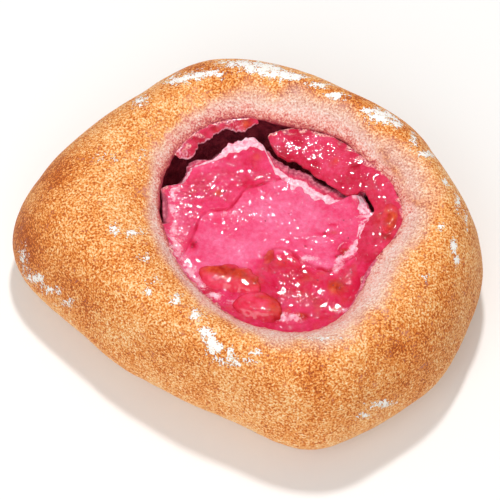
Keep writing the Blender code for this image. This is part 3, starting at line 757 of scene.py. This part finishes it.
# The flap is a piece of the cream's own skin, thick with jam, that still hangs from the rim over the gap. It
# is glossy, deep red and about as thick as a coin, and its free edge is ragged.
FLAP_OUTER_EDGE = (
    (4.6, 24.4), (8.4, 26.2), (14.4, 26.4), (20.2, 24.6), (25.6, 20.6), (30.6, 16), (34.2, 11.2),
    (36.2, 5.6), (36.9, 0), (34, -5.2), (30.8, -8.4), (28.9, -11.4),
)
FLAP_INNER_EDGE = (
    (5.2, 23.4), (7.6, 20), (11.6, 18.2), (16.4, 14.8), (21.2, 10.8), (24, 9), (26.6, 8.8), (28.3, 9.5),
    (29.8, 7), (30.9, 4.2), (30, 2.4), (27.6, -1.2), (26.6, -6), (26, -8.8), (27, -11.6),
)
FLAP_LEVEL = 29.9
FLAP_RISE = 1.6
FLAP_THICKNESS = 1.6
FLAP_AMBER = ((33.8, 0.4, 2.4, 4, 0.5), (21, 17.9, 1.4, 1, 0.5), (31, 11, 2, 3, 0.15))
FLAP_DEEP = (
    (26.5, 16.4, 1.2, 0.8, 0.3), (33.7, -3.8, 1.2, 1, 0.35), (13, 19, 6, 1.6, 0.1),
    (35.8, 3, 1, 1, 0.3),
)
FLAP_GLINTING = (
    (7.6, 21.6, 2.6, 1.3, 1), (20, 20.2, 4, 1.2, 1), (30, 10.6, 1.6, 1.6, 1), (31.5, -3.4, 1.6, 3, 0.8),
    (13, 22.6, 3, 0.9, 0.7), (26.4, 17, 2, 1, 0.7), (34, 6, 1.2, 1.2, 0.6), (17, 17, 2, 1, 0.3),
)

# The cream's skin: the same cream, set and thick with sieved raspberry. It gives the eye a deeper
# and glossier red.
skin = wet_fruit(
    "set_raspberry_cream_skin",
    ((0, "#EE98B2"), (0.25, "#E26086"), (0.5, "#D43A5C"), (0.75, "#B81E38"), (1, "#901226")),
    ((0.3, "#DC5C3C"), (0.5, "#C43C2C"), (0.7, "#9C201C")),
    1,
    {"Roughness": 0.4, "Subsurface Weight": 0.25, "Subsurface Scale": 1 * MM},
)


def flap_height(x, y):
    """The flap's top: lowest at its free edge, and rising towards the rim."""
    angle, outside = well_polar(x, y)
    share = 1 + outside / all_round(RIM_RADII, angle)
    end_droop = 1.3 * smooth_step((-6 - y) / 5)
    return FLAP_LEVEL + FLAP_RISE * smooth_step((share - 0.55) / 0.45) - smooth_step((4 - y) / 12) - end_droop


def hanging_skin(outer_edge, inner_edge, height, thickness, sunk, columns, rows, ragged, seed):
    """Points of a skin between two edges, with how far across it each lies and how far up through it.

    Its section is a flat superellipse, which runs over the top to the free edge, round it and back below:
    across = cos t to the power 0.8 and up = sin t to the power 0.4, with t once round.
    """
    along = np.linspace(0, 1, columns)
    turn = np.linspace(0, 2 * math.pi, rows, endpoint=False)
    u, t = (values.ravel() for values in np.meshgrid(along, turn, indexing="ij"))
    outer, inner = outer_edge(u), inner_edge(u)
    away = inner - outer
    away = away / np.linalg.norm(away, axis=1, keepdims=True)
    flat = np.column_stack([inner, 0 * u])
    jagged = layered(flat, (1, 2.4, seed), (0.6, 0.9, seed + 1), (0.3, 0.45, seed + 4))
    inner = inner + away * (ragged * jagged)[:, None]
    torn_outer = layered(flat, (0.6, 2.2, seed + 5), (0.4, 0.8, seed + 6))
    outer = outer - away * torn_outer[:, None]
    across = np.sign(np.cos(t)) * np.abs(np.cos(t)) ** 0.8 * 0.5 + 0.5
    plan = outer + (inner - outer) * across[:, None]
    ends = np.sqrt(np.clip(np.minimum(u, 1 - u) / 0.03, 0, 1))
    up = np.sign(np.sin(t)) * np.abs(np.sin(t)) ** 0.4 * 0.5 * ends - 0.5
    points = np.column_stack([plan, height(plan[:, 0], plan[:, 1]) + thickness * up])
    points[:, 2] -= sunk * smooth_step((0.14 - across) / 0.14)
    top = smooth_step(up + 0.6)
    points[:, 2] += top * layered(points, (0.16, 2.4, seed + 2), (0.06, 1.1, seed + 3))
    return points, across, up


def flap_outer(u):
    """The flap's edge along the rim, pushed a little up onto the dough where the jam sticks to it."""
    edge = smooth_path(FLAP_OUTER_EDGE, u)
    out = edge - WELL_MIDDLE
    return edge + out / np.linalg.norm(out, axis=1, keepdims=True) * 2


FLAP_ROWS = 150
flap, across, up = hanging_skin(
    flap_outer,
    lambda u: smooth_path(FLAP_INNER_EDGE, u),
    flap_height,
    FLAP_THICKNESS,
    sunk=0.8,
    columns=420,
    rows=FLAP_ROWS,
    ragged=0.35,
    seed=31,
)
flap_x, flap_y = flap[:, 0], flap[:, 1]
by_seam = smooth_step((4 - flap_y) / 2)
flap_froth = 0.8 * by_seam * smooth_step((across - 0.95 + 0.06 * unevenness(flap, 1.4, 41)) / 0.05)
flap_smear = smooth_step((0.3 + 0.16 * unevenness(flap, 1.5, 40) - across) / 0.25)
fields = {
    "deep": 0.6 + 0.18 * unevenness(flap, 4, 38) + patches(flap_x, flap_y, FLAP_DEEP),
    "torn": flap_froth,
    "glinting": np.minimum(patches(flap_x, flap_y, FLAP_GLINTING), 1),
    "amber": np.clip(patches(flap_x, flap_y, FLAP_AMBER) * (1 + 0.8 * unevenness(flap, 2, 39)), 0, 1),
    "smeared": flap_smear * smooth_step((flap_y + 4) / 8),
    "shaded": smooth_step((-0.6 - up) * 5),
}
closed_skin("flap_of_cream_skin", flap, FLAP_ROWS, fields, skin, "cream_flap")

# A ragged strip of the same skin stayed on the rim where the cream tore away from it. It droops over the gap,
# and its free edge is frayed.
STRIP_ANGLES = (144, 101)
STRIP_WIDTHS = (0.9, 3.1, 2.9, 1.7, 2.2, 2, 1.3, 1.9, 2.7, 1, 0.7)
STRIP_LEVEL = 30.2
STRIP_RISE = 1.2
STRIP_THICKNESS = 1.1
STRIP_AMBER = ((-0.8, 28.6, 1.3, 1.6, 1), (-8, 27, 1.4, 1, 0.4))
STRIP_DEEP = (
    (-14, 24.6, 1.4, 0.8, 0.3), (-9, 27.6, 1.4, 0.7, 0.3), (-17, 22, 2, 1.6, 0.15),
    (-1.2, 29.6, 1, 0.6, 0.3),
)
STRIP_GLINTING = ((-17, 20.8, 2.4, 2.2, 1), (-4, 29, 2.4, 1.6, 1), (-12, 25, 3, 1.2, 0.5))


def strip_edge(widths, reach, share):
    """Points of the strip's edge: inside the rim by the strip's widths, or outside it by its reach."""
    angle = np.radians(STRIP_ANGLES[0] + (STRIP_ANGLES[1] - STRIP_ANGLES[0]) * share)
    width = smooth_path(np.array(widths)[:, None], share)[:, 0]
    return ring_about(WELL_MIDDLE, all_round(RIM_RADII, angle) + reach - width, angle, 0)[:2].T


def strip_height(x, y):
    """The top of the strip: it droops from the rim to its free edge."""
    _, outside = well_polar(x, y)
    return STRIP_LEVEL + STRIP_RISE * smooth_step(1 + outside / 3.5) + 0.3 * np.maximum(outside, 0)


STRIP_ROWS = 70
strip, across, up = hanging_skin(
    lambda u: strip_edge((0, 0), 1.4, u),
    lambda u: strip_edge(STRIP_WIDTHS, -0.3, u),
    strip_height,
    STRIP_THICKNESS,
    sunk=0.5,
    columns=360,
    rows=STRIP_ROWS,
    ragged=0.45,
    seed=51,
)
strip_x, strip_y = strip[:, 0], strip[:, 1]
knobs = np.minimum(patches(strip_x, strip_y, STRIP_GLINTING), 1)
fields = {
    "deep": 0.6 + 0.25 * unevenness(strip, 2, 58) + patches(strip_x, strip_y, STRIP_DEEP),
    # Pale frothy colour on the knobs is a painted highlight standing for their glints.
    "torn": 0.45 * smooth_step((across - 0.95) / 0.04) + 0.35 * knobs * (1 + unevenness(strip, 1, 60)),
    "glinting": 0.3 + 0.7 * knobs,
    "amber": np.clip(patches(strip_x, strip_y, STRIP_AMBER), 0, 1),
    "smeared": smooth_step((0.7 + 0.4 * unevenness(strip, 1.4, 59) - across) / 0.5),
    "shaded": smooth_step((-0.6 - up) * 5),
}
closed_skin("skin_left_on_rim", strip, STRIP_ROWS, fields, skin, "rim_skin")

# Lumps of raspberry jam: cooked berries in set juice, half sunk in the cream. They are clear enough for light
# to glow in them, amber where the fruit is thick, and they thin out into the pink round them.
# Each lump: middle, half length, half width, height, turn in degrees, how smooth, and what carries it
JAM_LUMPS = (
    ((-4.8, -15), 8, 3.9, 1.7, -16, 0.5, "cream"),
    ((1.6, -22.8), 5.6, 3.9, 1.9, -10, 0.2, "cream"),
    ((4.1, -8.3), 2.9, 1.9, 0.5, 66, 0, "cream"),
    ((34.4, 1), 4.4, 2.2, 0.3, 78, 0, "flap"),
)
JAM_AMBER = (
    (-8, -12.6, 3.6, 1.5, 1.2), (-3.4, -13.8, 3, 1.6, 1.2), (0.6, -15.8, 2.4, 1.4, 1.1),
    (6.2, -23.2, 1.6, 2.6, 1.1), (3.4, -20.4, 2, 0.7, 0.7), (4.6, -8.2, 1.3, 2.6, 0.9),
    (35, 0.6, 2.2, 4, 1.2),
)
JAM_GLINTING = (
    (-6, -15.7, 3.4, 1.2, 1), (-1, -16.6, 3, 1.2, 1), (2, -24.2, 3, 1.5, 1), (4.2, -8, 1.4, 2.8, 0.8),
    (34.8, 3.4, 0.8, 1, 1), (36, -1.6, 1, 1.4, 0.5), (1.6, -14.6, 0.8, 0.8, 0.9),
)

jam = wet_fruit(
    "set_raspberry_jam",
    ((0, "#F288A4"), (0.25, "#E85474"), (0.5, "#DC3450"), (0.75, "#C02430"), (1, "#A01C18")),
    ((0.3, "#D85A2E"), (0.5, "#C03C20"), (0.7, "#9C2010")),
    0.25,
    {"Roughness": 0.3, "Subsurface Weight": 0.35, "Subsurface Scale": 1.5 * MM},
)
LUMP_COLUMNS = 150
UNDERSIDE = 0.3


def on_cream(x, y):
    """The cream's height at each point, read off its grid of rings by its angle and share of the way out."""
    spoke = (np.arctan2(y - WELL_MIDDLE[1], x - WELL_MIDDLE[0]) + math.pi) / (2 * math.pi) * CREAM_COLUMNS
    low = np.floor(spoke).astype(int)
    heights = cream_top[:, 2].reshape(TOP_ROWS, CREAM_COLUMNS)
    total = 0
    for step, part in ((0, 1 - (spoke - low)), (1, spoke - low)):
        here = (low + step) % CREAM_COLUMNS
        out = np.hypot(x - WELL_MIDDLE[0], y - WELL_MIDDLE[1]) / edge[here]
        ring = np.clip((1 - out) * (TOP_ROWS - 1), 0, TOP_ROWS - 1.001)
        inner = ring.astype(int)
        total = total + part * (
            heights[inner, here] * (1 - ring + inner) + heights[inner + 1, here] * (ring - inner)
        )
    return total


def jam_lump(number, middle, half_length, half_width, height, turn, smoothness, carrier):
    """A low dome, a little lobed: from its middle below, out to its edge, and up over its top.

    Its height falls off as (1 - across^2 - along^4)^p, so its crest is long. p is small on its far side,
    which is steep, and large on its near side.
    """
    seed = 60 + 10 * number
    angle, share = round_grid(LUMP_COLUMNS, np.linspace(0.02, 0.99, 100))
    over = np.clip(2 * share - 0.6, 0, 1.4) / 1.4
    radius = np.where(share < UNDERSIDE, share / UNDERSIDE, np.cos(over * math.pi / 2))
    cos, sin = math.cos(math.radians(turn)), math.sin(math.radians(turn))
    outline = np.stack([half_length * np.cos(angle), half_width * np.sin(angle), 0 * angle], axis=1)
    lobes = 1.1 + 0.13 * unevenness(outline, 3, seed) * radius
    lobes += 0.1 * unevenness(outline, 1.2, seed + 1) * radius**4
    lobes += 0.06 * unevenness(outline, 0.7, seed + 7) * radius**8
    long, wide = half_length * radius * lobes * np.cos(angle), half_width * radius * lobes * np.sin(angle)
    x = middle[0] + long * cos - wide * sin
    y = middle[1] + long * sin + wide * cos
    on_plateau = carrier == "cream"
    near = smooth_step(-0.15 - wide / half_width if on_plateau else 0.5 - (x - middle[0]) / half_width)
    drawn_out = (radius * np.sin(angle)) ** 2 + (radius**2 * np.cos(angle)) ** 2
    dome = np.maximum(1 - drawn_out, 1e-6) ** (0.42 + 1.3 * near)
    level = CREAM_LEVEL - 0.6
    merging = smooth_step((-0.5 - wide / half_width) / 0.5)
    base = level + (on_cream(x, y) - level) * merging if on_plateau else flap_height(x, y)
    lift = np.where(share < UNDERSIDE, -1.2, -0.4 + 0.25 * near + (height + 0.4) * dome)
    points = np.stack([x, y, base + lift], axis=1)
    lumpy = layered(points, (0.3, 3, seed + 2), (0.1, 1.2, seed + 3))
    points[:, 2] += np.maximum(dome, 0.2) * (share > UNDERSIDE) * lumpy * (1 - smoothness)
    thick = patches(x, y, JAM_AMBER) * (1 + 0.5 * unevenness(points, 1.6, seed + 4))
    # The far edge is darker, a painted shade where the lump meets the cream.
    far_edge_shade = 0.25 * height * (1 - near)
    fields = {
        "deep": 0.48 + 0.14 * unevenness(points, 2.5, seed + 5) + far_edge_shade * bell(1 - radius, 0.1),
        "glinting": np.minimum(0.1 + patches(x, y, JAM_GLINTING), 1),
        "amber": 0.9 * np.clip(thick, 0, 1) * smooth_step((1 - radius) / (0.04 + 0.3 * near)),
    }
    name, node = f"raspberry_jam_{number}", f"jam_lump_{number}"
    return closed_skin(name, points, LUMP_COLUMNS, fields, jam, node)


for number, lump in enumerate(JAM_LUMPS, start=1):
    jam_lump(number, *lump)

# Raspberry seeds: hard, wine-brown grains 0.5 to 0.8 mm long, which the sieve let through. They lie half sunk
# in the cream, and most are beside the lumps and the creases, where the fruit is thickest.
SEED_PLACES = (
    (3.8, 1.6), (13.7, -5.7), (8.4, -9.7), (5.9, -8.9), (-13.4, -4.8), (-14.3, -6.6), (21.6, -8.5),
    (22.4, -8), (16.6, -15), (9.6, -13.6), (19.6, -12.6), (12.2, -25), (20.4, -16.6), (22, -17.4),
    (7, -19.6), (24.4, -3.2), (23.4, 2), (18.6, -1.8), (0.6, 16.6), (25, -12.8), (-6.4, 9.6),
)
SEED_SIZE = (0.32, 0.2, 0.15)
SEED_COLUMNS = 12
SEED_RINGS = 7

draws = np.random.default_rng(7)
seed_angle, seed_share = round_grid(SEED_COLUMNS, np.linspace(0.08, 0.92, SEED_RINGS))
grain_shape = np.stack(
    [
        np.sin(seed_share * math.pi) * np.cos(seed_angle),
        np.sin(seed_share * math.pi) * np.sin(seed_angle),
        -np.cos(seed_share * math.pi),
    ],
    axis=1,
)
turns = draws.uniform(0, math.pi, len(SEED_PLACES))
sizes = draws.uniform(0.75, 1.2, len(SEED_PLACES))
grains = grain_shape[None] * np.array(SEED_SIZE) * sizes[:, None, None]
turned_x = grains[:, :, 0] * np.cos(turns)[:, None] - grains[:, :, 1] * np.sin(turns)[:, None]
turned_y = grains[:, :, 0] * np.sin(turns)[:, None] + grains[:, :, 1] * np.cos(turns)[:, None]
seed_x, seed_y = np.array(SEED_PLACES).T
grains = np.stack(
    [
        turned_x + seed_x[:, None],
        turned_y + seed_y[:, None],
        grains[:, :, 2] + on_cream(seed_x, seed_y)[:, None] + 0.02,
    ],
    axis=2,
)
here = np.arange(SEED_COLUMNS * SEED_RINGS).reshape(SEED_RINGS, SEED_COLUMNS)
beyond = np.roll(here, -1, axis=1)
seed_quads = np.stack([here[:-1], beyond[:-1], beyond[1:], here[1:]], axis=2).reshape(-1, 4)
seed_faces = [here[0][::-1].tolist(), here[-1].tolist()] + seed_quads.tolist()
seed_mesh = bpy.data.meshes.new("raspberry_seeds")
all_faces = [
    [corner + number * len(grain_shape) for corner in face]
    for number in range(len(SEED_PLACES))
    for face in seed_faces
]
seed_mesh.from_pydata(((grains.reshape(-1, 3) - SHIFT) * MM).tolist(), [], all_faces)
seed_mesh.shade_smooth()

# A raspberry seed's coat is woody, wine-brown and wet with juice, with a net of ridges too fine to show.
seed_coat, tree, shader = new_material("raspberry_seed_coat", {"Roughness": 0.45, "Specular IOR Level": 0.3})
place = add(tree, "ShaderNodeTexCoord", output="Object")
streaks = add(tree, "ShaderNodeTexNoise", {"Vector": place, "Scale": 1 / (0.3 * MM), "Detail": 2})
coat_stops = ((0.3, "#D04060"), (0.5, "#A82A46"), (0.7, "#841C34"))
colour = add(tree, "ShaderNodeValToRGB", {0: streaks}, stops=coat_stops)
tree.links.new(colour, shader.inputs["Base Color"])
placed("raspberry_seeds", seed_mesh, seed_coat, None)

# The bun lies on a plain pale table top. The window's light comes from above and a little behind, and a wide,
# weak light from the front stands in for what a pale room gives back.
TARGET = (-SHIFT[0], -SHIFT[1], 17)
CAMERA_DISTANCE = 550
CAMERA_ELEVATION = math.radians(60)
FRAME_WIDTH = 126.85
SENSOR_WIDTH = 36
LIT_POINT = (0, 0, 20)
ROOM_STRENGTH = 0.42

# Each lamp's name, size in metres, power in watts and place
LAMPS = (("window", 0.042, 1.6, (10, 145, 535)), ("fill", 0.5, 1.5, (-120, -380, 370)))


def aimed(thing, place, target):
    """Puts a camera or light at a place in millimetres, looking at the target."""
    made = bpy.data.objects.new(thing.name, thing)
    bpy.context.scene.collection.objects.link(made)
    towards = np.array(target, float) - place
    towards = towards / np.linalg.norm(towards)
    made.location = [c * MM for c in place]
    made.rotation_euler = (math.acos(-towards[2]), 0, math.atan2(-towards[0], towards[1]))
    return made


floor_mesh = bpy.data.meshes.new("table_top")
floor_mesh.from_pydata([(-2, -2, 0), (2, -2, 0), (2, 2, 0), (-2, 2, 0)], [], [(0, 1, 2, 3)])
floor = bpy.data.objects.new("table_top", floor_mesh)
bpy.context.scene.collection.objects.link(floor)
table, _, _ = new_material("pale_matt_table", {"Base Color": linear("#F4F3F1"), "Roughness": 0.9})
floor_mesh.materials.append(table)

eye = np.array([0, -math.cos(CAMERA_ELEVATION), math.sin(CAMERA_ELEVATION)]) * CAMERA_DISTANCE + TARGET
lens = bpy.data.cameras.new("camera")
lens.sensor_width = SENSOR_WIDTH
lens.lens = SENSOR_WIDTH * CAMERA_DISTANCE / FRAME_WIDTH
bpy.context.scene.camera = aimed(lens, eye, TARGET)

for name, size, power, place in LAMPS:
    lamp = bpy.data.lights.new(name, "AREA")
    lamp.size = size
    lamp.energy = power
    aimed(lamp, place, LIT_POINT)

world = bpy.data.worlds.new("studio")
world.use_nodes = True
world.node_tree.nodes["Background"].inputs["Color"].default_value = (1, 1, 1, 1)
world.node_tree.nodes["Background"].inputs["Strength"].default_value = ROOM_STRENGTH
bpy.context.scene.world = world
bpy.context.scene.view_settings.view_transform = "Standard"
